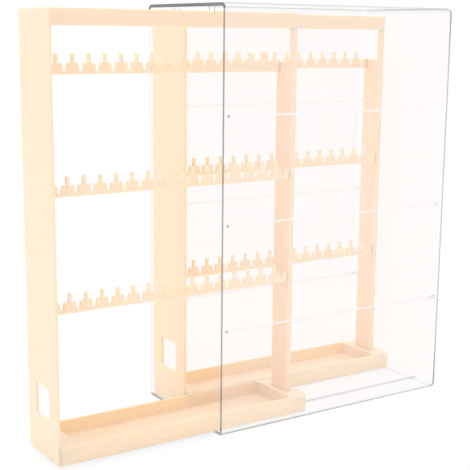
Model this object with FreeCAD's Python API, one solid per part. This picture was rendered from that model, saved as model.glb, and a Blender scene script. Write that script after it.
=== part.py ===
import FreeCAD
import Part
import os

# Jewellery tower: a clear upright case, open at the front, that holds two identical
# slide-out racks side by side. X is the width, Y runs from the opening to the back
# wall and Z is up. The origin is the middle of the case's footprint on the table.

Vector = FreeCAD.Vector
ALONG_X = Vector(1, 0, 0)

# Clear case
case_width = 89.0
case_depth = 175.0
case_height = 255.0
case_wall = 2.0
case_edge_radius = 3.4
opening_rim_bevel = 0.4

# Ribs moulded on the inside of the case
side_rib_count = 3
side_rib_depth = 2.1
side_rib_thickness = 1.5
rib_front_setback = 3.4
guide_rib_depth = 3.9
guide_rib_thickness = 1.2
floor_rib_width = 1.6
floor_rib_height = 1.2

# Racks
rack_gap = 1.0
rack_side_clearance = 0.7
rack_back_clearance = 1.6
rack_floor_clearance = 0.3
rack_pulled_out = 103.7
rack_pushed_home = 0.0

# Front panel of a rack
panel_thickness = 2.0
panel_top_clearance = 2.8
panel_edge_bevel = 0.5
panel_corner_radius = 1.0
grip_width = 19.0
grip_height = 19.0
grip_centre_height = 34.4
grip_corner_radius = 2.2

# Tray along the foot of a rack
tray_height = 10.8
tray_wall = 2.0
tray_floor = 2.4
tray_front_ledge = 11.6
tray_rear_ledge = 13.4
tray_corner_radius = 2.6
tray_inner_radius = 1.6
tray_rim_bevel = 0.4
tray_draft = 0.3
ledge_skin = 2.0
ledge_web = 1.6
tray_tab_width = 7.0
tray_tab_height = 3.0
tray_tab_inset = 4.5
runner_side_clearance = 0.6
runner_top_clearance = 0.4

# Upright frame of a rack: the frame plane carries the top rail and the two lower hook
# rails, and the upper hook rail hangs further in, towards the rack's inner face
frame_plane = 26.2
inner_plane = 13.8
post_left = 11.2
post_right = 27.8
post_thickness = 3.4
post_rear_setback = 5.3
post_neck_width = 3.2
post_step_radius = 2.0
post_edge_bevel = 0.3
post_tenon_depth = 1.6
post_tenon_inset = 2.0
post_tenon_shoulder = 0.8

# Top rail: a plain bar with a tongue that runs between the guide ribs
rail_width = 3.8
rail_height = 7.3
tongue_width = 3.0
tongue_height = 1.8
tongue_engagement = 1.2
tongue_side_clearance = 0.8

# Hook rails: a comb of stepped pegs
upper_rail_drop = 26.0
hook_rail_spacing = 65.0
hook_rail_thickness = 2.0
peg_count = 16
first_peg_gap = 3.1
comb_strip_height = 2.0
peg_base_height = 4.2
notch_width = 2.0
notch_flare = 0.5
notch_bevel = 0.6
peg_neck_height = 5.0
peg_neck_width = 1.9
peg_tip_bevel = 0.6

# Tenons that hold the rails in the front panel and the post
tenon_depth = 1.2
tenon_height = 3.6
tenon_thickness = 1.2
tenon_drop = 0.9

# Clearance round every tenon and tab in its pocket
joint_clearance = 0.1

# Derived places
front_y = -case_depth / 2
back_y = case_depth / 2
inner_half_width = case_width / 2 - case_wall
ceiling = case_height - case_wall
inner_edge_radius = case_edge_radius - case_wall
rack_width = inner_half_width - side_rib_depth - rack_side_clearance - rack_gap / 2
rack_length = case_depth - case_wall - rack_back_clearance
rack_bottom = case_wall + rack_floor_clearance
panel_top = ceiling - panel_top_clearance
tray_rim = rack_bottom + tray_height
tray_end = rack_length
right_rack_x = rack_gap / 2
left_rack_x = -rack_gap / 2 - rack_width
post_back = rack_length - post_rear_setback
post_front = post_back - post_thickness
tongue_top = ceiling - guide_rib_depth + tongue_engagement
rail_top = tongue_top - tongue_height
rail_bottom = rail_top - rail_height
upper_rail_bottom = rail_bottom - upper_rail_drop
middle_rail_bottom = upper_rail_bottom - hook_rail_spacing
lower_rail_bottom = middle_rail_bottom - hook_rail_spacing
peg_shoulder = comb_strip_height + peg_base_height
peg_tip = peg_shoulder + peg_neck_height
first_peg = panel_thickness + first_peg_gap
peg_pitch = (post_front - first_peg) / peg_count
guide_gap = tongue_width + 2 * tongue_side_clearance
hook_rails = (
    ("upper", inner_plane, upper_rail_bottom),
    ("middle", frame_plane, middle_rail_bottom),
    ("lower", frame_plane, lower_rail_bottom),
)


def block(x0, x1, y0, y1, z0, z1):
    """Box between two corners."""
    return Part.makeBox(x1 - x0, y1 - y0, z1 - z0, Vector(x0, y0, z0))


def edges_along(shape, direction, test=None):
    """Straight edges of a shape that run along one direction, and pass a test on their middle."""
    found = []
    for edge in shape.Edges:
        if len(edge.Vertexes) != 2:
            continue
        run = edge.Vertexes[1].Point.sub(edge.Vertexes[0].Point)
        if run.Length < 1e-6:
            continue
        run.normalize()
        if abs(run.dot(direction)) < 0.999:
            continue
        middle = edge.CenterOfMass
        if test is None or test(middle):
            found.append(edge)
    return found


def rounded_outline(x0, x1, y0, y1, radius, z):
    """Closed wire of a rectangle with round corners, lying level at height z."""
    flat = Part.makePlane(x1 - x0, y1 - y0, Vector(x0, y0, z))
    prism = flat.extrude(Vector(0, 0, 1))
    prism = prism.makeFillet(radius, edges_along(prism, Vector(0, 0, 1)))
    floor = min(prism.Faces, key=lambda face: face.CenterOfMass.z)
    return floor.OuterWire


def case_shell():
    """Clear case: five rounded walls, open at the front, with its ribs moulded in."""
    half = case_width / 2
    reach = 1.0
    outer = block(-half, half, front_y, back_y, 0, case_height)
    behind_opening = [edge for edge in outer.Edges if edge.CenterOfMass.y > front_y + reach]
    outer = outer.makeFillet(case_edge_radius, behind_opening)
    hollow = block(-inner_half_width, inner_half_width, front_y - reach, back_y - case_wall,
                   case_wall, ceiling)
    behind_mouth = [edge for edge in hollow.Edges if edge.CenterOfMass.y > front_y]
    hollow = hollow.makeFillet(inner_edge_radius, behind_mouth)
    shell = outer.cut(hollow)
    rim = [edge for edge in shell.Edges if abs(edge.CenterOfMass.y - front_y) < 1e-6]
    shell = shell.makeChamfer(opening_rim_bevel, rim)
    return shell.fuse(side_ribs() + guide_ribs() + floor_ribs()).removeSplitter()


def rib(x0, x1, z0, z1):
    """One rib that runs from just inside the opening into the back wall."""
    return block(x0, x1, front_y + rib_front_setback, back_y - case_wall / 2, z0, z1)


def side_ribs():
    """Level ribs at equal steps up each side wall, which keep the racks off the walls."""
    ribs = []
    for step in range(1, side_rib_count + 1):
        height = step * case_height / (side_rib_count + 1)
        z0 = height - side_rib_thickness / 2
        z1 = height + side_rib_thickness / 2
        root = inner_half_width + case_wall / 2
        crest = inner_half_width - side_rib_depth
        ribs.append(rib(crest, root, z0, z1))
        ribs.append(rib(-root, -crest, z0, z1))
    return ribs


def guide_ribs():
    """A pair of ribs under the top wall over each rack, with the rack's tongue between them."""
    ribs = []
    for rack_x in (left_rack_x, right_rack_x):
        middle = rack_x + frame_plane
        for side in (-1, 1):
            face = middle + side * guide_gap / 2
            back = face + side * guide_rib_thickness
            ribs.append(rib(min(face, back), max(face, back), ceiling - guide_rib_depth,
                            ceiling + case_wall / 2))
    return ribs


def floor_ribs():
    """One low rib on the floor under each rack, which the tray's groove straddles."""
    ribs = []
    for rack_x in (left_rack_x, right_rack_x):
        middle = rack_x + frame_plane
        ribs.append(rib(middle - floor_rib_width / 2, middle + floor_rib_width / 2,
                        case_wall / 2, case_wall + floor_rib_height))
    return ribs


def rail_tenon(plane, y0, y1, z0, slack):
    """Tenon of a rail, or with slack its pocket, centred on the rail's plane."""
    half = tenon_thickness / 2 + slack
    return block(plane - half, plane + half, y0, y1, z0 - slack, z0 + tenon_height + slack)


def tray_tabs(depth, slack):
    """Two flat tabs on the tray's front end, or with slack their pockets."""
    middle = rack_bottom + tray_height / 2
    z0 = middle - tray_tab_height / 2 - slack
    z1 = middle + tray_tab_height / 2 + slack
    y0 = panel_thickness - depth
    left = block(tray_tab_inset - slack, tray_tab_inset + tray_tab_width + slack,
                 y0, panel_thickness, z0, z1)
    shift = rack_width - 2 * tray_tab_inset - tray_tab_width
    right = left.translated(Vector(shift, 0, 0))
    return [left, right]


def top_tenon_base():
    """Lower edge of the tenon at the front of the top rail."""
    return rail_bottom + (rail_height - tenon_height) / 2


def front_panel():
    """Full-height front with a finger window near its foot and pockets on its back."""
    plate = block(0, rack_width, 0, panel_thickness, rack_bottom, panel_top)
    plate = plate.makeFillet(panel_corner_radius, edges_along(plate, Vector(0, 1, 0)))
    middle = rack_width / 2
    window = block(middle - grip_width / 2, middle + grip_width / 2, -1, panel_thickness + 1,
                   grip_centre_height - grip_height / 2, grip_centre_height + grip_height / 2)
    window = window.makeFillet(grip_corner_radius, edges_along(window, Vector(0, 1, 0)))
    plate = plate.cut(window)
    front_edges = [edge for edge in plate.Edges if abs(edge.CenterOfMass.y) < 1e-6]
    plate = plate.makeChamfer(panel_edge_bevel, front_edges)
    depth = tenon_depth + joint_clearance
    y0 = panel_thickness - depth
    pockets = tray_tabs(depth, joint_clearance)
    pockets.append(rail_tenon(frame_plane, y0, panel_thickness, top_tenon_base(), joint_clearance))
    for name, plane, bottom in hook_rails:
        pockets.append(rail_tenon(plane, y0, panel_thickness, bottom + tenon_drop,
                                  joint_clearance))
    return plate.cut(pockets)


def top_rail():
    """Bar from the front panel to the post, with the guide tongue along its top."""
    bar = block(frame_plane - rail_width / 2, frame_plane + rail_width / 2,
                panel_thickness, post_back, rail_bottom, rail_top)
    tongue = block(frame_plane - tongue_width / 2, frame_plane + tongue_width / 2,
                   panel_thickness, post_back, rail_top, tongue_top)
    tenon = rail_tenon(frame_plane, panel_thickness - tenon_depth, panel_thickness,
                       top_tenon_base(), 0)
    return bar.fuse([tongue, tenon]).cut(post_top_tenon(joint_clearance)).removeSplitter()


def post_top_tenon(slack):
    """Tenon on the post's neck, or with slack its pocket in the top rail."""
    half = tenon_thickness / 2 + slack
    return block(frame_plane - half, frame_plane + half,
                 post_front + post_tenon_shoulder - slack, post_back - post_tenon_shoulder + slack,
                 rail_bottom, rail_bottom + post_tenon_depth + slack)


def post_foot_tenon(slack):
    """Tenon under the post, or with slack its slot in the tray's rear ledge."""
    return block(post_left + post_tenon_inset - slack, post_right - post_tenon_inset + slack,
                 post_front + post_tenon_shoulder - slack, post_back - post_tenon_shoulder + slack,
                 tray_rim - post_tenon_depth - slack, tray_rim)


def rear_post():
    """Flat post: broad up to the upper hook rail, then a narrow neck up to the top rail."""
    shoulder = upper_rail_bottom + peg_shoulder
    neck_left = post_right - post_neck_width
    board = block(post_left, post_right, post_front, post_back, tray_rim, shoulder)
    neck = block(neck_left, post_right, post_front, post_back, tray_rim, rail_bottom)
    post = board.fuse(neck).removeSplitter()
    step = edges_along(post, Vector(0, 1, 0),
                       lambda at: abs(at.x - neck_left) < 1e-6 and abs(at.z - shoulder) < 1e-6)
    post = post.makeFillet(post_step_radius, step)
    uprights = edges_along(post, Vector(0, 0, 1))
    post = post.makeChamfer(post_edge_bevel, uprights)
    post = post.fuse([post_top_tenon(0), post_foot_tenon(0)])
    pockets = []
    for name, plane, bottom in hook_rails:
        pockets.append(rail_tenon(plane, post_front, post_front + tenon_depth + joint_clearance,
                                  bottom + tenon_drop, joint_clearance))
    return post.cut(pockets).removeSplitter()


def comb_outline(plane, bottom):
    """Closed side outline of a hook rail: a strip with a row of stepped pegs on it."""
    notch_floor = bottom + comb_strip_height
    shoulder = bottom + peg_shoulder
    tip = bottom + peg_tip
    neck = peg_neck_width / 2
    low = notch_width / 2
    high = low + notch_flare
    outline = [(panel_thickness, shoulder), (panel_thickness, bottom), (post_front, bottom),
               (post_front, shoulder)]
    for index in reversed(range(peg_count)):
        peg = first_peg + index * peg_pitch
        notch = peg + peg_pitch / 2
        outline += [
            (notch + high, shoulder), (notch + low, notch_floor + notch_bevel),
            (notch + low - notch_bevel, notch_floor), (notch - low + notch_bevel, notch_floor),
            (notch - low, notch_floor + notch_bevel), (notch - high, shoulder),
            (peg + neck, shoulder), (peg + neck, tip - peg_tip_bevel),
            (peg + neck - peg_tip_bevel, tip), (peg - neck + peg_tip_bevel, tip),
            (peg - neck, tip - peg_tip_bevel), (peg - neck, shoulder),
        ]
    corners = [Vector(plane - hook_rail_thickness / 2, y, z) for y, z in outline]
    return Part.makePolygon(corners + corners[:1])


def hook_rail(plane, bottom):
    """Comb for chains and earrings, with a tenon at each end."""
    face = Part.Face(comb_outline(plane, bottom))
    comb = face.extrude(ALONG_X * hook_rail_thickness)
    base = bottom + tenon_drop
    front = rail_tenon(plane, panel_thickness - tenon_depth, panel_thickness, base, 0)
    rear = rail_tenon(plane, post_front, post_front + tenon_depth, base, 0)
    return comb.fuse([front, rear]).removeSplitter()


def tray():
    """Long shallow tray between two level ledges that are hollow underneath."""
    body = block(0, rack_width, panel_thickness, tray_end, rack_bottom, tray_rim)
    body = body.makeFillet(tray_corner_radius, edges_along(body, Vector(0, 0, 1)))
    rim = [edge for edge in body.Edges if abs(edge.BoundBox.ZMin - tray_rim) < 1e-6]
    body = body.makeChamfer(tray_rim_bevel, rim)
    trough_front = panel_thickness + tray_front_ledge
    trough_back = tray_end - tray_rear_ledge
    low = rounded_outline(tray_wall + tray_draft, rack_width - tray_wall - tray_draft,
                          trough_front + tray_draft, trough_back - tray_draft,
                          tray_inner_radius, rack_bottom + tray_floor)
    high = rounded_outline(tray_wall, rack_width - tray_wall, trough_front, trough_back,
                           tray_inner_radius + tray_draft, tray_rim)
    trough = Part.makeLoft([low, high], True)
    body = body.cut([trough, post_foot_tenon(joint_clearance)])
    body = body.cut(ledge_hollows() + [runner_groove()])
    return body.fuse(tray_tabs(tenon_depth, 0)).removeSplitter()


def ledge_hollows():
    """Hollows under the front and rear ledges, each split by a web under the rack's middle."""
    ceiling_of_hollow = tray_rim - ledge_skin
    middle = rack_width / 2
    spans = (
        (panel_thickness + ledge_skin, panel_thickness + tray_front_ledge - ledge_skin),
        (tray_end - tray_rear_ledge + ledge_skin, tray_end - ledge_skin),
    )
    hollows = []
    for y0, y1 in spans:
        for x0, x1 in ((tray_wall, middle - ledge_web / 2),
                       (middle + ledge_web / 2, rack_width - tray_wall)):
            hollows.append(block(x0, x1, y0, y1, rack_bottom - 1, ceiling_of_hollow))
    return hollows


def runner_groove():
    """Groove under the whole tray, over the case's floor rib."""
    half = floor_rib_width / 2 + runner_side_clearance
    top = case_wall + floor_rib_height + runner_top_clearance
    return block(frame_plane - half, frame_plane + half, 0, tray_end + 1, rack_bottom - 1, top)


def rack_pieces():
    """The seven pieces of one rack, in the rack's own place."""
    pieces = {
        "front_panel": front_panel(),
        "top_rail": top_rail(),
        "rear_post": rear_post(),
        "tray": tray(),
    }
    for name, plane, bottom in hook_rails:
        pieces[name + "_hook_rail"] = hook_rail(plane, bottom)
    return pieces


def write(name, shape):
    """Write one node, after a check that it is a single sound solid."""
    if not shape.isValid() or len(shape.Solids) != 1:
        raise ValueError(name + " is not one sound solid")
    shape.Solids[0].exportStep("parts/" + name + ".step")


def main():
    os.makedirs("parts", exist_ok=True)
    write("case", case_shell())
    racks = (
        ("left_rack", left_rack_x, front_y - rack_pushed_home),
        ("right_rack", right_rack_x, front_y - rack_pulled_out),
    )
    pieces = rack_pieces()
    for rack, x, y in racks:
        for name, shape in pieces.items():
            write(rack + "_" + name, shape.translated(Vector(x, y, 0)))


main()
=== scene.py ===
# %% [markdown]
# # A clear jewellery tower with two slide-out racks
# The real object is a clear, open-fronted case that holds two apricot racks. One rack
# is home and the other is drawn out. The racks could be sculpted by eye, but they have
# to slide in the case, so each piece here takes its place from the solid that it
# dresses.

import math

import bmesh
import bpy
from mathutils import Matrix, Vector


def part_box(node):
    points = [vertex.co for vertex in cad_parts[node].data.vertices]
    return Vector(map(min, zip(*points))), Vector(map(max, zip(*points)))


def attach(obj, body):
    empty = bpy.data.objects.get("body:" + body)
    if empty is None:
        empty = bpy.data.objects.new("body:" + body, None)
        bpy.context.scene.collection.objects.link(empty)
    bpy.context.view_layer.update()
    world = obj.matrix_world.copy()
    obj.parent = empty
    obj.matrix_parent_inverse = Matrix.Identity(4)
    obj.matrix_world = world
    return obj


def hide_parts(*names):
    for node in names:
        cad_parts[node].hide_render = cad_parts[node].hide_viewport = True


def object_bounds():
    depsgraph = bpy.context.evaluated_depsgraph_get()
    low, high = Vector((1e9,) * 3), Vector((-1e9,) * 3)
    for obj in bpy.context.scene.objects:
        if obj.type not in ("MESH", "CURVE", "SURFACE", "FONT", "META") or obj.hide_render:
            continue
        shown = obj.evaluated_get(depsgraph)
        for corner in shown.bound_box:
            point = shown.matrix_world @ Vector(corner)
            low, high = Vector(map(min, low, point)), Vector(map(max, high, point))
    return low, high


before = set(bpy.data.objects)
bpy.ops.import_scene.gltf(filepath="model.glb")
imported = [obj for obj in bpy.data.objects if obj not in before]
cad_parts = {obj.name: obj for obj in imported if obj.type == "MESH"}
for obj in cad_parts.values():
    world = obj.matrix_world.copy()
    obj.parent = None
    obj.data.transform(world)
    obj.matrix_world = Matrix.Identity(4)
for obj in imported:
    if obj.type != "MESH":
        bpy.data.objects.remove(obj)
solid_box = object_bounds()
MM = 0.001
SIDES = ("left_rack", "right_rack")
print("solids:", len(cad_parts), "height in mm:", round(solid_box[1].z / MM, 1))

# %% [markdown]
# ## Where each piece stands
# Blender works in metres, but a moulding is easier to think of in millimetres, so sizes
# are in millimetres and become metres only where the mesh is made. The box of a solid
# gives the place and outer size of its piece. Typed numbers would be as quick, but
# would stay behind when a solid changes. What lies inside that box is a named value, in
# capitals.

# %% Read a solid's box
def node_box(node):
    """Lowest and highest corner of a solid, in millimetres."""
    low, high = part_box(node)
    return Vector(low) / MM, Vector(high) / MM


case_size = node_box("case")[1] - node_box("case")[0]
print("case in mm:", *(round(size, 1) for size in case_size))

# %% [markdown]
# ## From a bmesh to a finished piece
# Each piece starts as a bmesh, which is Blender's editable mesh without the editor. A
# primitive object could be scaled and moved instead, but then its size hides in its
# transform. Here the object stays at the origin and its place is in its mesh, as with
# the solids, so it can ride on a body and slide with it.

# %% Turn a bmesh into a finished piece
MERGE_GAP = 0.001
SHARP_ANGLE = 50

def finish_piece(bm, name, body, nodes):
    """Closes a bmesh into an object that rides on a body and stands for its solids."""
    bmesh.ops.remove_doubles(bm, verts=bm.verts, dist=MERGE_GAP * MM)
    loose = [edge for edge in bm.edges if not edge.link_faces]
    bmesh.ops.delete(bm, geom=loose, context="EDGES")
    bmesh.ops.recalc_face_normals(bm, faces=bm.faces)
    open_edges = sum(1 for edge in bm.edges if not edge.is_manifold)
    mesh = bpy.data.meshes.new(name)
    bm.to_mesh(mesh)
    bm.free()
    mesh.shade_smooth()
    mesh.set_sharp_from_angle(angle=math.radians(SHARP_ANGLE))
    piece = bpy.data.objects.new(name, mesh)
    bpy.context.scene.collection.objects.link(piece)
    piece.modifiers.new("even shading", "WEIGHTED_NORMAL").keep_sharp = True
    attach(piece, body)
    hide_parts(*nodes)
    print(name, "faces:", len(mesh.polygons), "open edges:", open_edges)
    return piece


print("normals are smoothed where faces meet at less than", SHARP_ANGLE, "degrees")


# %% Make a box and a prism
def block(bm, low, high):
    """Adds a box between two corners in millimetres."""
    low, high = Vector(low) * MM, Vector(high) * MM
    place = Matrix.Translation((low + high) / 2) @ Matrix.Diagonal((*(high - low), 1))
    bmesh.ops.create_cube(bm, size=1, matrix=place)


def push_out(bm, faces, push):
    """Extrudes faces along a vector in millimetres."""
    made = bmesh.ops.extrude_face_region(bm, geom=faces)["geom"]
    verts = [item for item in made if isinstance(item, bmesh.types.BMVert)]
    bmesh.ops.translate(bm, verts=verts, vec=Vector(push) * MM)


def prism(bm, corners, push):
    """Extrudes a flat outline, given as points in millimetres, along a vector."""
    face = bm.faces.new([bm.verts.new(Vector(corner) * MM) for corner in corners])
    push_out(bm, [face], push)


def cut_line(bm, axis, place):
    """Draws a line of edges around a form, at a place along an axis."""
    across = Vector((0, 0, 0))
    across[axis] = 1
    bmesh.ops.bisect_plane(bm, geom=bm.verts[:] + bm.edges[:] + bm.faces[:],
                           plane_co=across * place * MM, plane_no=across)


print("plain forms are ready")

# %% [markdown]
# ## Round edges
# A moulding has no knife edges, and a round edge catches a thin light. A Bevel modifier
# rounds every edge alike. Picking edges by their angle and place gives each its own
# radius, and leaves square the edges where a piece meets its neighbour.

# %% Pick edges and round them
FOLD = 25
HAIR = 0.05
STRAIGHT = 0.99

def sharp_edges(bm, test, least=FOLD):
    """Edges that fold by more than the least angle, in degrees, and pass a test."""
    return [edge for edge in bm.edges if edge.is_manifold
            and edge.calc_face_angle() > math.radians(least) and test(edge)]


def in_plane(edge, axis, place):
    """True for an edge that lies at one place along an axis."""
    return max(abs(vert.co[axis] / MM - place) for vert in edge.verts) < HAIR


def runs_along(axis):
    """A test for edges that run along one axis, 0 for X, 1 for Y and 2 for Z."""
    def test(edge):
        run = edge.verts[1].co - edge.verts[0].co
        return abs(run[axis]) > STRAIGHT * run.length
    return test


def soften(bm, edges, radius, segments=2):
    """Rounds edges over, with the radius in millimetres."""
    bmesh.ops.bevel(bm, geom=edges, affect="EDGES", offset=radius * MM,
                    segments=segments, profile=0.5, material=-1, clamp_overlap=True)


print("an edge counts where its faces meet at more than", FOLD, "degrees")

# %% [markdown]
# ## Joining and cutting forms
# The hollows under a tray and the ribs on a wall cross other forms, which is slow to
# model face by face. A Boolean modifier works out the crossing. Its result is read back
# into the bmesh, so its edges can still be rounded, and the two helper objects are
# deleted.

# %% Join a form or cut it away
def combine(bm, tool, operation):
    """Joins the tool's form to a bmesh with UNION, or cuts it away with DIFFERENCE."""
    held = []
    for part in (bm, tool):
        bmesh.ops.recalc_face_normals(part, faces=part.faces)
        mesh = bpy.data.meshes.new("held")
        part.to_mesh(mesh)
        held.append(bpy.data.objects.new("held", mesh))
        bpy.context.scene.collection.objects.link(held[-1])
    tool.free()
    modifier = held[0].modifiers.new("combine", "BOOLEAN")
    modifier.operation = operation
    modifier.solver = "EXACT"
    modifier.use_self = True
    modifier.object = held[1]
    view = bpy.context.evaluated_depsgraph_get()
    bm.clear()
    bm.from_object(held[0], view)
    for item in held:
        mesh = item.data
        bpy.data.objects.remove(item)
        bpy.data.meshes.remove(mesh)


print("forms can be joined and cut")

# %% [markdown]
# ## Shader maths in plain expressions
# A material is a graph of nodes. Adding each node by hand hides the idea behind it, so
# one small class wraps a socket and lets `1 - mask` add the Math node for us. Every
# other node comes from one method that sets the node up first and then fills its
# inputs.

# %% A socket that does arithmetic
class Wire:
    """An output socket that takes part in arithmetic."""

    def __init__(self, recipe, socket):
        self.recipe = recipe
        self.socket = socket

    def maths(self, operation, first, second):
        return self.recipe.node("ShaderNodeMath", {"operation": operation},
                                {0: first, 1: second})

    def __add__(self, other):
        return self.maths("ADD", self, other)

    def __sub__(self, other):
        return self.maths("SUBTRACT", self, other)

    def __rsub__(self, other):
        return self.maths("SUBTRACT", other, self)

    def __mul__(self, other):
        return self.maths("MULTIPLY", self, other)

    def __pow__(self, other):
        return self.maths("POWER", self, other)

    __radd__ = __add__
    __rmul__ = __mul__


print("sockets can be added, subtracted, multiplied and raised to a power")


# %% A recipe that holds the nodes
class Recipe:
    """The nodes of one material, or of the world."""

    def __init__(self, owner):
        self.owner = owner
        owner.use_nodes = True
        owner.node_tree.nodes.clear()

    def node(self, kind, settings=None, inputs=None, output=0):
        """Adds a node, sets it up, fills its inputs and returns one of its outputs."""
        tree = self.owner.node_tree
        made = tree.nodes.new(kind)
        for key, value in (settings or {}).items():
            setattr(made, key, value)
        for key, value in (inputs or {}).items():
            if isinstance(value, Wire):
                tree.links.new(value.socket, made.inputs[key])
            else:
                made.inputs[key].default_value = value
        return Wire(self, made.outputs[output]) if made.outputs else None

    def finish(self, shader, end="ShaderNodeOutputMaterial"):
        """Sends a shader to the output node and returns what the nodes belong to."""
        self.node(end, None, {"Surface": shader})
        print(self.owner.name, "nodes:", len(self.owner.node_tree.nodes))
        return self.owner


def linear(red, green, blue):
    """Turns a colour as the eye reads it into linear light, by the sRGB curve."""
    return tuple(c / 12.92 if c <= 0.04045 else ((c + 0.055) / 1.055) ** 2.4
                 for c in (red, green, blue)) + (1.0,)


print("mid grey for a shader:", round(linear(0.5, 0.5, 0.5)[0], 3))

# %% [markdown]
# ## The apricot moulding
# Every rack piece is one pale apricot plastic with a fine satin face. A flat colour
# looks like paint, so the colour and the gloss drift a little over the surface and a
# very fine grain tilts the light. Thin walls of such plastic also let a little light
# through, which keeps the shadows in the tray warm and pale. Object coordinates keep
# the drift fixed to the piece as it slides.

# %% Material of the racks
APRICOT = (0.99, 0.89, 0.80)
APRICOT_DEEP = (0.985, 0.877, 0.78)
DRIFT_SCALE = 14.0
GRAIN_SCALE = 2600.0
GRAIN_HEIGHT = 0.00003
GRAIN_STRENGTH = 0.25
SATIN_ROUGHNESS = 0.38
SATIN_DRIFT = 0.1
PLASTIC_IOR = 1.49
SHINE_THROUGH = 0.6
SHINE_DEPTH = 0.003
SHINE_COLOUR = (1.0, 0.8, 0.36)

def rack_plastic():
    """Satin moulded plastic with a slow drift of tone and a fine grain."""
    recipe = Recipe(bpy.data.materials.new("rack_plastic"))
    place = recipe.node("ShaderNodeTexCoord", output="Object")
    drift = recipe.node("ShaderNodeTexNoise", None,
                        {"Vector": place, "Scale": DRIFT_SCALE, "Detail": 2.0})
    grain = recipe.node("ShaderNodeTexNoise", None,
                        {"Vector": place, "Scale": GRAIN_SCALE, "Detail": 1.0})
    tone = recipe.node("ShaderNodeMix", {"data_type": "RGBA"}, {
        0: drift, 6: linear(*APRICOT), 7: linear(*APRICOT_DEEP)}, output=2)
    tilt = recipe.node("ShaderNodeBump", None, {
        "Strength": GRAIN_STRENGTH, "Distance": GRAIN_HEIGHT, "Height": grain})
    return recipe.finish(recipe.node("ShaderNodeBsdfPrincipled", None, {
        "Base Color": tone,
        "Roughness": SATIN_ROUGHNESS + SATIN_DRIFT * drift,
        "IOR": PLASTIC_IOR,
        "Subsurface Weight": SHINE_THROUGH,
        "Subsurface Radius": SHINE_COLOUR,
        "Subsurface Scale": SHINE_DEPTH,
        "Normal": tilt,
    }))


RACK_PLASTIC = rack_plastic()

# %% [markdown]
# ## The clear moulding
# Real clear plastic bends light, but a tracer then needs very many rays to light the racks
# behind it. The walls are thin and flat, so a faint see-through veil looks the same: a
# faint tint with a painted reflection of the white room. The eye reads such a case by its
# edges, which real plastic darkens by bending light, so each kind of edge gets its own
# strength of painted grey shade: the rim, the ribs, and the round corners where they turn
# away. Layer Weight gives that turn. The painted shade grows where a face turns away from
# whatever looks at it, not from one camera, and so it reads alike from every side.

# %% Values that change along an axis
RIPPLE_SCALE = 30.0

def spread(recipe, place, axis, start, end):
    """A value that changes evenly along an axis, between two (place, value) pairs."""
    along = recipe.node("ShaderNodeSeparateXYZ", None, {0: place}, output=axis)
    return recipe.node("ShaderNodeMapRange", None, {
        "Value": along, "From Min": start[0] * MM, "From Max": end[0] * MM,
        "To Min": start[1], "To Max": end[1]})


def rippled(recipe):
    """Place on the piece, and the slow ripple that a moulded face has."""
    place = recipe.node("ShaderNodeTexCoord", output="Object")
    return place, recipe.node("ShaderNodeTexNoise", None, {
        "Vector": place, "Scale": RIPPLE_SCALE, "Detail": 1.0})


print("a ripple is about", round(1 / RIPPLE_SCALE / MM), "mm long")

# %% A material for one kind of face of the case
RIPPLE_SHARE = 0.2
# The painted shade on an upright corner is stronger at its top and foot than in its
# middle.
END_POWER = 3.0
# Painted shade that grows towards the back ends of the side ribs, where they meet the back
# wall.
BACK_SHADE_START = 8.0
BACK_SHADE_FULL = 2.0
POLISH_ROUGHNESS = 0.05
POLISH_DRIFT = 0.04

def clear_plastic(name, tint, alpha, turn=None, ends=0.0, fade=None, back_shade=0.0):
    """A veil or painted grey shade, more where a face turns away, at the ends or at the
    back.
    """
    recipe = Recipe(bpy.data.materials.new(name))
    place, ripple = rippled(recipe)
    low, high = node_box("case")
    cover = alpha * (1 - RIPPLE_SHARE / 2 + RIPPLE_SHARE * ripple)
    if turn:
        strength, power = turn
        facing = recipe.node("ShaderNodeLayerWeight", None, {"Blend": 0.5}, "Facing")
        cover = cover + strength * facing ** power
    # Painted shade, weaker in the middle of an upright corner than at its ends.
    if ends:
        off = spread(recipe, place, 2, (low.z, -1.0), (high.z, 1.0))
        cover = cover * (1 - ends + ends * (off * off) ** END_POWER)
    # Painted shade that fades along an axis of the case.
    if fade:
        axis, low_share, high_share = fade
        cover = cover * spread(recipe, place, axis,
                               (low[axis], low_share), (high[axis], high_share))
    # Painted shade towards the back ends of the ribs.
    if back_shade:
        cover = cover + spread(recipe, place, 1,
                               (high.y - BACK_SHADE_START, 0.0), (high.y - BACK_SHADE_FULL, back_shade))
    return recipe.finish(recipe.node("ShaderNodeBsdfPrincipled", None, {
        "Base Color": linear(*tint),
        "Roughness": POLISH_ROUGHNESS + POLISH_DRIFT * ripple,
        "IOR": PLASTIC_IOR,
        "Alpha": cover,
    }))


# Prints how far the painted shade at the back ends of the ribs reaches.
print("the back ends of the ribs are marked over", BACK_SHADE_START - BACK_SHADE_FULL, "mm")

# %% [markdown]
# ## Ribs that bend light
# A ray passes only a limited number of see-through faces and is black behind them. The
# guide ribs under the top wall add eight such faces in one line, more than the tracer
# takes. They are the one form here that really bends light, which has a limit of its
# own. The bend is kept weaker than in the real plastic, so that they stay quiet.

# %% Clear plastic that bends light
GUIDE_IOR = 1.2
GUIDE_ROUGHNESS = 0.02

def clear_glass(name):
    """Polished clear plastic that bends light and lets it through."""
    recipe = Recipe(bpy.data.materials.new(name))
    ripple = rippled(recipe)[1]
    return recipe.finish(recipe.node("ShaderNodeBsdfPrincipled", None, {
        "Base Color": (1.0, 1.0, 1.0, 1.0),
        "Roughness": GUIDE_ROUGHNESS * ripple,
        "IOR": GUIDE_IOR,
        "Transmission Weight": 1.0,
    }))
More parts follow.
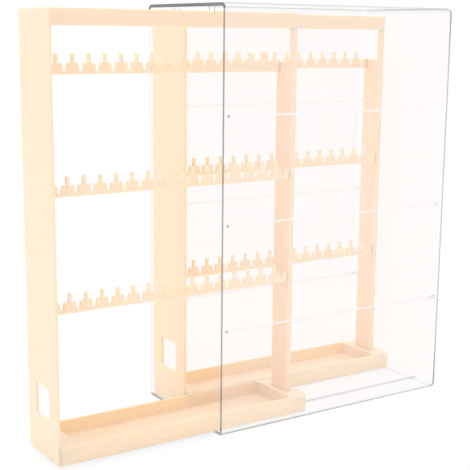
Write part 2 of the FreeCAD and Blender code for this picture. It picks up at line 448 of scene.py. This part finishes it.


# %% [markdown]
# ## How grey each edge is
# The veil has no dark lines by itself, so the dark lines where real clear plastic bends
# light are painted shade: each kind of face has its own tint and cover, set against the
# photograph. The painted shade is darkest on the top of the rim, an upright corner fades
# in its middle, the far side is fainter than the near one, and the foot fades to the back.
# A fade is an axis with the share of cover that is left at its low and its high end. The
# order is also the order of the material slots on the case.

# %% The clear materials
# A faint tint of the plastic, with a painted reflection of the white room that washes what
# lies behind the walls.
VEIL_TINT_AND_REFLECTION = (0.985, 0.955, 0.95)
# Painted highlight: the near-white crest that the side ribs show where they catch the
# light.
PAINTED_RIB_HIGHLIGHT = (0.995, 0.99, 0.99)
# Painted shade: the grey of the dark lines that real clear edges show where they bend
# light.
PAINTED_SHADE_GREY = (0.39, 0.39, 0.40)
# Fades of the painted shade: fainter on the far side at low X, and towards the back at the
# foot.
FADE_LEFT = (0, 0.12, 1.0)
FADE_BACK = (1, 1.0, 0.35)
LOOKS = {
    "wall": {"tint": VEIL_TINT_AND_REFLECTION, "alpha": 0.09},
    "corner": {"tint": PAINTED_SHADE_GREY, "alpha": 0.01, "turn": (3.8, 2.4), "ends": 0.68,
               "fade": FADE_LEFT},
    "corner_foot": {"tint": PAINTED_SHADE_GREY, "alpha": 0.01, "turn": (4.5, 3.6), "fade": FADE_BACK},
    "corner_level": {"tint": PAINTED_SHADE_GREY, "alpha": 0.01, "turn": (1.4, 3.4)},
    "inner_corner": {"tint": VEIL_TINT_AND_REFLECTION, "alpha": 0.04},
    "rim": {"tint": PAINTED_SHADE_GREY, "alpha": 0.95},
    # The foot of the rim has a fainter painted grey, which offsets the shade that falls
    # low down.
    "rim_foot": {"tint": PAINTED_SHADE_GREY, "alpha": 0.6},
    "rim_upright": {"tint": PAINTED_SHADE_GREY, "alpha": 0.72, "fade": FADE_LEFT},
    "rib": {"tint": PAINTED_RIB_HIGHLIGHT, "alpha": 0.7},
    "rib_side": {"tint": PAINTED_SHADE_GREY, "alpha": 0.12, "back_shade": 0.8},
    "rib_end": {"tint": PAINTED_SHADE_GREY, "alpha": 0.8},
    "guide_end": {"tint": PAINTED_SHADE_GREY, "alpha": 0.35},
    "floor_rib": {"tint": PAINTED_SHADE_GREY, "alpha": 0.22},
}
CLEAR = {kind: clear_plastic("clear_" + kind, **look) for kind, look in LOOKS.items()}
CLEAR["guide"] = clear_glass("clear_guide")

# %% [markdown]
# ## The ribs of the case
# Three level ribs stiffen each side wall, a pair of ribs under the top wall guides the
# tongue of each rack, and a low rib on the floor keeps each tray in line. All of them
# are plain bars, so each is a box whose root is sunk in the wall that it will be joined
# to.

# %% Ribs on the inside of the case
CASE_WALL = 2.0
RIB_SETBACK = 4.9
GUIDE_SETBACK = 2.6
SIDE_RIB_COUNT = 3
SIDE_RIB_DEPTH = 2.1
SIDE_RIB_THICKNESS = 1.5
GUIDE_RIB_DEPTH = 3.9
GUIDE_RIB_THICKNESS = 1.2
GUIDE_GAP = 4.6
FLOOR_RIB_WIDTH = 1.6
FLOOR_RIB_HEIGHT = 1.2
FRAME_PLANE = 26.2

def side_ribs(bm, low, high):
    """Level ribs, evenly spaced up both side walls."""
    front, back = low.y + RIB_SETBACK, high.y - CASE_WALL / 2
    root = high.x - CASE_WALL / 2
    crest = high.x - CASE_WALL - SIDE_RIB_DEPTH
    half = SIDE_RIB_THICKNESS / 2
    for step in range(1, SIDE_RIB_COUNT + 1):
        z = high.z * step / (SIDE_RIB_COUNT + 1)
        block(bm, (crest, front, z - half), (root, back, z + half))
        block(bm, (-root, front, z - half), (-crest, back, z + half))


def rack_ribs(bm, low, high, side):
    """Two guide ribs under the top wall and one rib on the floor, for one rack."""
    front, back = low.y + GUIDE_SETBACK, high.y - CASE_WALL / 2
    ceiling = high.z - CASE_WALL
    plane = node_box(side + "_front_panel")[0].x + FRAME_PLANE
    for left in (plane - GUIDE_GAP / 2 - GUIDE_RIB_THICKNESS, plane + GUIDE_GAP / 2):
        block(bm, (left, front, ceiling - GUIDE_RIB_DEPTH),
              (left + GUIDE_RIB_THICKNESS, back, ceiling + CASE_WALL / 2))
    block(bm, (plane - FLOOR_RIB_WIDTH / 2, front, CASE_WALL / 2),
          (plane + FLOOR_RIB_WIDTH / 2, back, CASE_WALL + FLOOR_RIB_HEIGHT))


print("ribs on the case:", 2 * SIDE_RIB_COUNT + 3 * len(SIDES))

# %% [markdown]
# ## Which face takes which clear material
# Faces could be painted by hand, but that is lost each time the mesh is made again. A
# face's middle and the way it leans tell the same: on the rim, on a round corner, on a
# rib or on a wall. A lean is one part of the face's normal, and it is 1 where the face
# looks straight along that axis.

# %% The rim and the round corners
CASE_EDGE_RADIUS = 3.4
FRONTAL = 0.8
ALL_WAYS = 0.05
PAST_MIDDLE = 0.3

def rim_kind(centre, lean, high):
    """The rim of the opening, with fainter painted shade on its foot and uprights than its
    top.
    """
    if centre.z < CASE_WALL:
        return "rim_foot"
    if centre.z > high.z - CASE_EDGE_RADIUS:
        return "rim"
    return "rim_upright" if lean[1] > FRONTAL else "wall"


def corner_kind(centre, lean, low, high):
    """A round edge of the case, on its inside or outside, upright or level."""
    if min(*(centre - low), *(high - centre)) > CASE_WALL / 2 + PAST_MIDDLE:
        return "inner_corner"
    upright = CASE_EDGE_RADIUS < centre.z < high.z - CASE_EDGE_RADIUS
    if upright or min(lean) > ALL_WAYS:
        return "corner"
    at_foot = centre.z < CASE_EDGE_RADIUS and centre.y < high.y - CASE_EDGE_RADIUS
    return "corner_foot" if at_foot else "corner_level"


print("kinds of clear face:", len(CLEAR))

# %% The ribs, and the choice for any face
RIM_BEVEL = 0.4
NEAR = 0.1
LEANS = 0.3
LEVEL = 0.9
FLAT = 0.999

def rib_kind(centre, lean, high):
    """A rib on a side wall, under the top wall or on the floor."""
    if abs(centre.x) > high.x - CASE_WALL - SIDE_RIB_DEPTH - NEAR:
        if lean[1] > LEVEL:
            return "rib_end"
        return "rib" if lean[0] > LEVEL else "rib_side"
    if lean[1] > LEVEL:
        return "guide_end"
    if centre.z > high.z / 2:
        return "guide"
    return "floor_rib" if lean[0] > LEVEL else "wall"


def case_face(face, low, high):
    """Which of the clear materials a face of the case takes."""
    centre = face.calc_center_median() / MM
    lean = [abs(part) for part in face.normal]
    skin = CASE_WALL + HAIR
    if centre.y < low.y + RIM_BEVEL + NEAR and lean[1] > LEANS:
        return rim_kind(centre, lean, high)
    if max(lean) < FLAT:
        return corner_kind(centre, lean, low, high)
    if (low.y + GUIDE_SETBACK - NEAR < centre.y < high.y - skin
            and abs(centre.x) < high.x - skin and skin < centre.z < high.z - skin):
        return rib_kind(centre, lean, high)
    return "wall"


print("a face is flat where one part of its normal is past", FLAT)

# %% [markdown]
# ## The clear case
# The case is a thin box with round corners, open at the front. It could be a solid with
# a hollow cut out of it, but a wall of even thickness is quicker: take a box, drop its
# front face, round its edges, and give what is left a thickness. The ribs are joined on
# after. Clear plastic throws hardly any shadow, so the case takes no part in shadows
# and in bounced light, and the racks inside are lit as plainly as the one drawn out.

# %% The case itself
CORNER_SEGMENTS = 6
STEEP_FOLD = 60

def clear_case():
    """Thin clear walls with round corners, an open front and moulded ribs."""
    low, high = node_box("case")
    bm = bmesh.new()
    block(bm, low, high)
    front = min(bm.faces, key=lambda face: face.calc_center_median().y)
    bmesh.ops.delete(bm, geom=[front], context="FACES_ONLY")
    corners = [edge for edge in bm.edges if edge.is_manifold]
    soften(bm, corners, CASE_EDGE_RADIUS, CORNER_SEGMENTS)
    bmesh.ops.solidify(bm, geom=bm.faces, thickness=CASE_WALL * MM)
    rim = sharp_edges(bm, lambda edge: in_plane(edge, 1, low.y), STEEP_FOLD)
    soften(bm, rim, RIM_BEVEL)
    ribs = bmesh.new()
    side_ribs(ribs, low, high)
    for side in SIDES:
        rack_ribs(ribs, low, high, side)
    combine(bm, ribs, "UNION")
    kinds = list(CLEAR)
    for face in bm.faces:
        face.material_index = kinds.index(case_face(face, low, high))
    case = finish_piece(bm, "clear_case", "case", ["case"])
    for material in CLEAR.values():
        case.data.materials.append(material)
    case.visible_shadow = False
    case.visible_diffuse = False


clear_case()

# %% [markdown]
# ## Two racks from the same steps
# The two racks are the same moulding, one home and one drawn out. One rack could be a
# copy of the other, but the frame already says where each stands, so every piece of a
# rack is built once for each side. All of them take the same plastic.

# %% Finish a piece of a rack
def rack_piece(bm, side, name, node):
    """Finishes a piece that rides on one rack, and gives it the apricot plastic."""
    nodes = [side + "_" + node]
    piece = finish_piece(bm, side + "_" + name, side, nodes)
    piece.data.materials.append(RACK_PLASTIC)


print("racks to build:", *SIDES)

# %% [markdown]
# ## The front panel
# The front is a flat plate with a square window low down, to pull it by. A window could
# be a Boolean, but on a flat plate it is neater to draw its four lines across the
# plate, drop the two small faces and bridge the two rims, which gives the wall of the
# window.

# %% Cut the window
GRIP_SIZE = 19.0
GRIP_CENTRE_HEIGHT = 34.4

def cut_window(bm, left, right, foot, top):
    """Opens a square window through a plate that faces the front."""
    for axis, place in ((0, left), (0, right), (2, foot), (2, top)):
        cut_line(bm, axis, place)
    panes = []
    for face in bm.faces:
        centre = face.calc_center_median() / MM
        if left < centre.x < right and foot < centre.z < top:
            panes.append(face)
    rims = [edge for pane in panes for edge in pane.edges]
    bmesh.ops.delete(bm, geom=panes, context="FACES_ONLY")
    bmesh.ops.bridge_loops(bm, edges=rims)


print("window in mm:", GRIP_SIZE, "at height", GRIP_CENTRE_HEIGHT)

# %% Build the front panels
GRIP_CORNER_RADIUS = 2.2
PANEL_CORNER_RADIUS = 1.0
PANEL_EDGE_RADIUS = 0.6

def front_panel(side):
    """Full-height plate with a finger window near its foot."""
    low, high = node_box(side + "_front_panel")
    middle = (low.x + high.x) / 2
    reach = GRIP_SIZE / 2
    bm = bmesh.new()
    block(bm, low, high)
    cut_window(bm, middle - reach, middle + reach,
               GRIP_CENTRE_HEIGHT - reach, GRIP_CENTRE_HEIGHT + reach)
    along = runs_along(1)

    def at_window(edge):
        centre = (edge.verts[0].co + edge.verts[1].co) / 2 / MM
        return (abs(centre.x - middle) < GRIP_SIZE
                and abs(centre.z - GRIP_CENTRE_HEIGHT) < GRIP_SIZE)

    def at_corner(edge):
        return along(edge) and not at_window(edge)

    soften(bm, sharp_edges(bm, lambda edge: along(edge) and at_window(edge)),
           GRIP_CORNER_RADIUS, segments=5)
    soften(bm, sharp_edges(bm, at_corner, STEEP_FOLD), PANEL_CORNER_RADIUS, segments=3)
    soften(bm, sharp_edges(bm, lambda edge: in_plane(edge, 1, low.y)),
           PANEL_EDGE_RADIUS, segments=3)
    rack_piece(bm, side, "panel", "front_panel")


for side in SIDES:
    front_panel(side)

# %% [markdown]
# ## The upright frame
# The frame is a rail along the top and a flat post at the back. Both are the same all
# the way along, so each is a short outline that is extruded, and then its edges are
# rounded, though not where it butts against the panel, the rail or the tray.

# %% Build the top rails
TONGUE_WIDTH = 3.0
TONGUE_HEIGHT = 1.8
RAIL_EDGE = 0.175

def top_rail(side):
    """Plain bar with the tongue that runs between the guide ribs."""
    low, high = node_box(side + "_top_rail")
    start = node_box(side + "_front_panel")[1].y
    middle = (low.x + high.x) / 2
    tongue = middle + TONGUE_WIDTH / 2
    top = high.z - TONGUE_HEIGHT
    right = [(high.x, low.z), (high.x, top), (tongue, top), (tongue, high.z)]
    section = right + [(2 * middle - x, z) for x, z in reversed(right)]
    bm = bmesh.new()
    prism(bm, [(x, start, z) for x, z in section], (0, high.y - start, 0))
    soften(bm, sharp_edges(bm, lambda edge: not in_plane(edge, 1, start)), RAIL_EDGE)
    rack_piece(bm, side, "rail", "top_rail")


for side in SIDES:
    top_rail(side)

# %% Build the posts
POST_NECK_WIDTH = 3.2
POST_STEP_RADIUS = 2.0
POST_EDGE = 0.35
STRIP_HEIGHT = 2.0
BASE_HEIGHT = 4.2

def rear_post(side):
    """Flat post, broad up to the upper hooks and narrow from there to the rail."""
    low, high = node_box(side + "_rear_post")
    shoulder = node_box(side + "_upper_hook_rail")[0].z + STRIP_HEIGHT + BASE_HEIGHT
    foot = node_box(side + "_tray")[1].z
    head = node_box(side + "_top_rail")[0].z
    neck = high.x - POST_NECK_WIDTH
    outline = [(low.x, foot), (high.x, foot), (high.x, head), (neck, head),
               (neck, shoulder), (low.x, shoulder)]
    bm = bmesh.new()
    prism(bm, [(x, low.y, z) for x, z in outline], (0, high.y - low.y, 0))
    along = runs_along(1)

    def at_step(edge):
        return along(edge) and in_plane(edge, 0, neck) and in_plane(edge, 2, shoulder)

    def free(edge):
        return not (in_plane(edge, 2, foot) or in_plane(edge, 2, head))

    soften(bm, sharp_edges(bm, at_step), POST_STEP_RADIUS, segments=5)
    soften(bm, sharp_edges(bm, free), POST_EDGE)
    rack_piece(bm, side, "post", "rear_post")


for side in SIDES:
    rear_post(side)

# %% [markdown]
# ## The combs of hooks
# A hook rail is a strip with sixteen stepped pegs. One peg could be modelled and
# repeated with an Array modifier, but then the pegs and the strip are separate skins.
# Here the strip is cut into lanes, the broad bases are extruded up from it, and the
# narrow necks from the bases, so the comb is one closed skin as it is in the moulding.

# %% Raise some of the top faces
def nearest(places, y):
    """The place that is nearest to a point along the rail."""
    return min(places, key=lambda place: abs(place - y))


def raise_faces(bm, test, height):
    """Extrudes the level top faces whose middle passes a test."""
    tops = [face for face in bm.faces
            if face.normal.z > LEVEL and test(face.calc_center_median().y / MM)]
    push_out(bm, tops, (0, 0, height))
    old = [face for face in tops if face.is_valid]
    bmesh.ops.delete(bm, geom=old, context="FACES_ONLY")


print("a face looks up where the upright part of its normal is past", LEVEL)

# %% Raise the pegs and flare the notches
NECK_HEIGHT = 5.0
NECK_WIDTH = 1.9
NOTCH_WIDTH = 2.0
NOTCH_FLARE = 0.5

def raise_pegs(bm, pegs, notches):
    """Cuts the strip into lanes and extrudes the bases, and then the necks."""
    for middles, width in ((pegs, NECK_WIDTH), (notches, NOTCH_WIDTH)):
        for middle in middles:
            cut_line(bm, 1, middle - width / 2)
            cut_line(bm, 1, middle + width / 2)
    raise_faces(bm, lambda y: abs(nearest(notches, y) - y) > NOTCH_WIDTH / 2,
                BASE_HEIGHT)
    raise_faces(bm, lambda y: abs(nearest(pegs, y) - y) < NECK_WIDTH / 2,
                NECK_HEIGHT)
    bmesh.ops.dissolve_limit(bm, angle_limit=math.radians(1),
                             verts=bm.verts, edges=bm.edges)


def flare_notches(bm, notches, level):
    """Widens each notch towards its mouth, which is at a level in millimetres."""
    for vert in bm.verts:
        at = vert.co / MM
        away = at.y - nearest(notches, at.y)
        if abs(at.z - level) < HAIR and abs(away) < NOTCH_WIDTH / 2 + HAIR:
            vert.co.y += math.copysign(NOTCH_FLARE * MM, away)


print("a peg is", STRIP_HEIGHT + BASE_HEIGHT + NECK_HEIGHT, "mm tall with its strip")

# %% Build the hook rails
HOOK_RAILS = ("upper", "middle", "lower")
PEG_COUNT = 16
FIRST_PEG = 3.1
PEG_TIP_RADIUS = 0.7
NOTCH_RADIUS = 0.7
PEG_EDGE = 0.25

def hook_rail(side, name):
    """Comb of stepped pegs from the front panel to the post."""
    low, high = node_box(side + "_" + name + "_hook_rail")
    start = node_box(side + "_front_panel")[1].y
    end = node_box(side + "_rear_post")[0].y
    pitch = (end - start - FIRST_PEG) / PEG_COUNT
    pegs = [start + FIRST_PEG + index * pitch for index in range(PEG_COUNT)]
    notches = [peg + pitch / 2 for peg in pegs]
    strip = low.z + STRIP_HEIGHT
    bm = bmesh.new()
    block(bm, (low.x, start, low.z), (high.x, end, strip))
    raise_pegs(bm, pegs, notches)
    flare_notches(bm, notches, strip + BASE_HEIGHT)
    across = runs_along(0)

    def free(edge):
        return not (across(edge) or in_plane(edge, 1, start) or in_plane(edge, 1, end))

    soften(bm, sharp_edges(bm, lambda edge: across(edge) and in_plane(edge, 2, high.z)),
           PEG_TIP_RADIUS, segments=4)
    soften(bm, sharp_edges(bm, lambda edge: across(edge) and in_plane(edge, 2, strip)),
           NOTCH_RADIUS, segments=3)
    soften(bm, sharp_edges(bm, free), PEG_EDGE)
    rack_piece(bm, side, name + "_hooks", name + "_hook_rail")


for side in SIDES:
    for name in HOOK_RAILS:
        hook_rail(side, name)

# %% [markdown]
# ## The tray
# The tray is a long shallow trough between two level ledges. Its top face is inset, the
# inset is pulled in from both ends to leave the ledges, and it is pushed down to make
# the trough. The underside is hollow under the ledges, as mouldings are to keep their
# walls even, and it has a groove over the floor rib. Both are cut away with a Boolean.

# %% Forms that are cut away under the tray
TRAY_WALL = 2.0
TRAY_FRONT_LEDGE = 11.6
TRAY_REAR_LEDGE = 13.4
LEDGE_SKIN = 2.0
LEDGE_WEB = 1.6
GROOVE_WIDTH = 2.8
GROOVE_HEIGHT = 1.3
OVERSHOOT = 1.0
GROOVE_OVERSHOOT = 1.5

def tray_underside(low, high, start):
    """Hollows under both ledges, two by two, and the groove."""
    bm = bmesh.new()
    middle = (low.x + high.x) / 2
    spans = ((start + LEDGE_SKIN, start + TRAY_FRONT_LEDGE - LEDGE_SKIN),
             (high.y - TRAY_REAR_LEDGE + LEDGE_SKIN, high.y - LEDGE_SKIN))
    for y0, y1 in spans:
        for x0, x1 in ((low.x + TRAY_WALL, middle - LEDGE_WEB / 2),
                       (middle + LEDGE_WEB / 2, high.x - TRAY_WALL)):
            block(bm, (x0, y0, low.z - OVERSHOOT), (x1, y1, high.z - LEDGE_SKIN))
    plane = low.x + FRAME_PLANE
    block(bm, (plane - GROOVE_WIDTH / 2, start - OVERSHOOT, low.z - GROOVE_OVERSHOOT),
          (plane + GROOVE_WIDTH / 2, high.y + OVERSHOOT, low.z + GROOVE_HEIGHT))
    return bm


slack = GROOVE_WIDTH - FLOOR_RIB_WIDTH
print("the groove is wider than its rib by", round(slack, 1), "mm")

# %% Sink the trough
TRAY_FLOOR = 2.4

def sink_trough(bm, low, high, start):
    """Pushes the top face of a box down between its walls and its two ledges."""
    top = max(bm.faces, key=lambda face: face.calc_center_median().z)
    bmesh.ops.inset_region(bm, faces=[top], thickness=TRAY_WALL * MM)
    middle = (start + high.y) / 2 * MM
    front = [vert for vert in top.verts if vert.co.y < middle]
    back = [vert for vert in top.verts if vert.co.y > middle]
    for verts, pull in ((front, TRAY_FRONT_LEDGE - TRAY_WALL),
                        (back, TRAY_WALL - TRAY_REAR_LEDGE)):
        bmesh.ops.translate(bm, verts=verts, vec=(0, pull * MM, 0))
    push_out(bm, [top], (0, 0, low.z + TRAY_FLOOR - high.z))
    if top.is_valid:
        bmesh.ops.delete(bm, geom=[top], context="FACES_ONLY")


print("the floor of a trough is", TRAY_FLOOR, "mm thick")

# %% Build the trays
TRAY_CORNER_RADIUS = 2.6
TRAY_INNER_RADIUS = 1.8
TRAY_FLOOR_RADIUS = 1.0
TRAY_RIM_RADIUS = 0.45

def tray(side):
    """Long trough with a level ledge at each end."""
    low, high = node_box(side + "_tray")
    start = node_box(side + "_front_panel")[1].y
    bm = bmesh.new()
    block(bm, (low.x, start, low.z), high)
    sink_trough(bm, low, high, start)
    upright = runs_along(2)

    def inner(edge):
        at = edge.verts[0].co / MM
        return (low.x + HAIR < at.x < high.x - HAIR
                and start + HAIR < at.y < high.y - HAIR)

    def rear_corner(edge):
        return upright(edge) and in_plane(edge, 1, high.y)

    def rim(edge):
        return in_plane(edge, 2, high.z) and not in_plane(edge, 1, start)

    soften(bm, sharp_edges(bm, lambda edge: upright(edge) and inner(edge)),
           TRAY_INNER_RADIUS, segments=4)
    soften(bm, sharp_edges(bm, rear_corner), TRAY_CORNER_RADIUS, segments=5)
    soften(bm, sharp_edges(bm, lambda edge: in_plane(edge, 2, low.z + TRAY_FLOOR)),
           TRAY_FLOOR_RADIUS, segments=3)
    soften(bm, sharp_edges(bm, rim), TRAY_RIM_RADIUS)
    combine(bm, tray_underside(low, high, start), "DIFFERENCE")
    rack_piece(bm, side, "trough", "tray")


for side in SIDES:
    tray(side)

# %% [markdown]
# ## A white floor
# The tower stands on white paper that runs off into white. A floor that is only lit
# turns grey in the distance. Here the eye sees it at full white, and near the tower a
# small share of the lit and shaded floor is mixed in, so that the tower doesn't float.

# %% Material of the floor
SHADOW_SHARE = 0.15
SHADOW_FULL = 0.105
SHADOW_REACH = 0.42
WHITE = (1.0, 1.0, 1.0, 1.0)
PAPER = (0.95, 0.95, 0.95, 1.0)

def studio_paper():
    """Full white to the eye, apart from a share of shadow near the tower."""
    recipe = Recipe(bpy.data.materials.new("studio_floor"))
    seen = recipe.node("ShaderNodeLightPath", output="Is Camera Ray")
    place = recipe.node("ShaderNodeTexCoord", output="Object")
    away = recipe.node("ShaderNodeVectorMath", {"operation": "LENGTH"}, {0: place}, 1)
    shade = recipe.node("ShaderNodeMapRange", {"interpolation_type": "SMOOTHSTEP"}, {
        "Value": away, "From Min": SHADOW_FULL, "From Max": SHADOW_REACH,
        "To Min": SHADOW_SHARE, "To Max": 0.0})
    lit = recipe.node("ShaderNodeBsdfDiffuse", None, {"Color": PAPER})
    white = recipe.node("ShaderNodeEmission", None, {"Color": WHITE})
    return recipe.finish(recipe.node("ShaderNodeMixShader", None, {
        0: seen * (1 - shade), 1: lit, 2: white}))


STUDIO_PAPER = studio_paper()

# %% Build the floor
FLOOR_REACH = 4.0

def studio_floor():
    """Large level floor under the tower."""
    bm = bmesh.new()
    bmesh.ops.create_grid(bm, x_segments=1, y_segments=1, size=FLOOR_REACH)
    mesh = bpy.data.meshes.new("studio_floor")
    bm.to_mesh(mesh)
    bm.free()
    mesh.materials.append(STUDIO_PAPER)
    floor = bpy.data.objects.new("studio_floor", mesh)
    bpy.context.scene.collection.objects.link(floor)
    print("floor in m:", 2 * FLOOR_REACH, "square")


studio_floor()

# %% [markdown]
# ## A white world and soft lamps
# The world is white to the eye, in gloss and through the ribs that bend light. As a
# source of light it is weaker, which leaves room for lamps. A photo of a pale object in
# a white tent has soft light from all around, and one strong lamp would burn the
# apricot out. So there are four large, weak lamps: front left, overhead, right and
# behind.

# %% The white world
WORLD_LEVEL = 0.75

def white_world():
    """White to the eye and a plain, weaker fill light for the rest."""
    world = bpy.data.worlds.new("studio")
    bpy.context.scene.world = world
    recipe = Recipe(world)
    fill = 1.0
    for kind in ("Camera", "Glossy", "Transmission"):
        ray = recipe.node("ShaderNodeLightPath", output="Is " + kind + " Ray")
        fill = fill * (1 - ray)
    light = recipe.node("ShaderNodeBackground", None, {
        "Color": WHITE, "Strength": 1 - (1 - WORLD_LEVEL) * fill})
    recipe.finish(light, "ShaderNodeOutputWorld")


white_world()

# %% Soft lamps
MIDDLE = (solid_box[0] + solid_box[1]) / 2
LAMPS = {
    "key": {"place": (-0.35, -1.35, 0.95), "size": 1.1, "power": 4.4},
    "top": {"place": (0.1, -0.15, 1.5), "size": 1.4, "power": 8.0},
    "right": {"place": (1.5, -0.4, 0.7), "size": 1.2, "power": 2.0},
    "back": {"place": (-0.6, 1.4, 1.0), "size": 1.0, "power": 3.0},
}

def soft_lamp(name, place, size, power):
    """Square lamp that faces the middle of the object, in metres and watts."""
    lamp = bpy.data.lights.new(name, "AREA")
    lamp.shape = "SQUARE"
    lamp.size = size
    lamp.energy = power
    holder = bpy.data.objects.new(name, lamp)
    bpy.context.scene.collection.objects.link(holder)
    facing = (MIDDLE - Vector(place)).to_track_quat("-Z", "Y").to_matrix().to_4x4()
    holder.matrix_world = Matrix.Translation(place) @ facing
    print("lamp", name, "watts:", power)


for name, lamp in LAMPS.items():
    soft_lamp(name, **lamp)

# %% [markdown]
# ## The camera
# The camera was fitted to the straight edges of the case and racks in the photograph,
# which is surer than turning it by eye until the picture looks alike. It stands to the
# right, two thirds of a metre away, and looks down a little, without any lens shift.

# %% Place the camera
IMAGE_SIDE = 470
SENSOR = 36.0
FOCAL_PIXELS = 1047.1
AZIMUTH, ELEVATION, ROLL = (math.radians(angle) for angle in (56.78, 10.93, 0.60))
DISTANCE = 664.2
TARGET = Vector((-0.5, -49.9, 112.3))
CLIP_START = 0.01

def fit_camera():
    """Camera at the photograph's angle, distance and framing."""
    camera = bpy.data.cameras.new("camera")
    camera.sensor_width = SENSOR
    camera.lens = FOCAL_PIXELS / IMAGE_SIDE * SENSOR
    camera.clip_start = CLIP_START
    holder = bpy.data.objects.new("camera", camera)
    bpy.context.scene.collection.objects.link(holder)
    looking = Vector((-math.sin(AZIMUTH) * math.cos(ELEVATION),
                      math.cos(AZIMUTH) * math.cos(ELEVATION), -math.sin(ELEVATION)))
    level = looking.cross(Vector((0, 0, 1))).normalized()
    upright = level.cross(looking)
    right = level * math.cos(ROLL) + upright * math.sin(ROLL)
    up = upright * math.cos(ROLL) - level * math.sin(ROLL)
    turn = Matrix((right, up, -looking)).transposed().to_4x4()
    place = (TARGET - looking * DISTANCE) * MM
    holder.matrix_world = Matrix.Translation(place) @ turn
    bpy.context.scene.camera = holder
    print("camera lens in mm:", round(camera.lens, 1))


fit_camera()
bpy.context.scene.view_settings.view_transform = "Standard"
